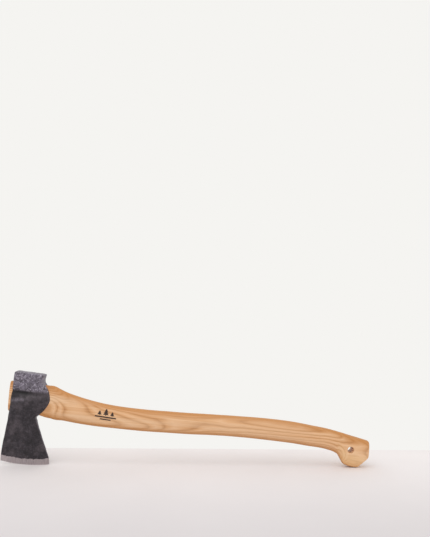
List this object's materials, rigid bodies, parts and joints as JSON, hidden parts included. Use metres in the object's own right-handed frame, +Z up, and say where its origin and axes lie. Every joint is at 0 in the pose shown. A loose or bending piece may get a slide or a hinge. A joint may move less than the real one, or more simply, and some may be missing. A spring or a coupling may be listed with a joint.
{
  "type": "felling axe",
  "caption": "Felling axe with a forged steel head wedged on a long S-curved wooden haft that ends in a knob with a hang hole.",
  "frame": {"origin": "middle of the axe's footprint, on the surface that it is set down on, with the cutting edge and the knob touching it", "axes": "+X along the haft from the head to the knob, +Y across the cheeks, +Z up with the poll on top and the cutting edge down"},
  "size_m": [0.7856, 0.0308, 0.2007],
  "materials": {
    "forged_steel": "black forge scale, dark and half matt, with a ground bright bevel at the edge",
    "ash_wood": "sanded and oiled, satin",
    "wedge_wood": "sawn, trimmed flush with the tenon",
    "ring_steel": "plain turned steel"
  },
  "bodies": {
    "root": {"axe_head": "forged_steel", "haft": "ash_wood", "wooden_wedge": "wedge_wood", "ring_wedge": "ring_steel"}
  },
  "joints": []
}
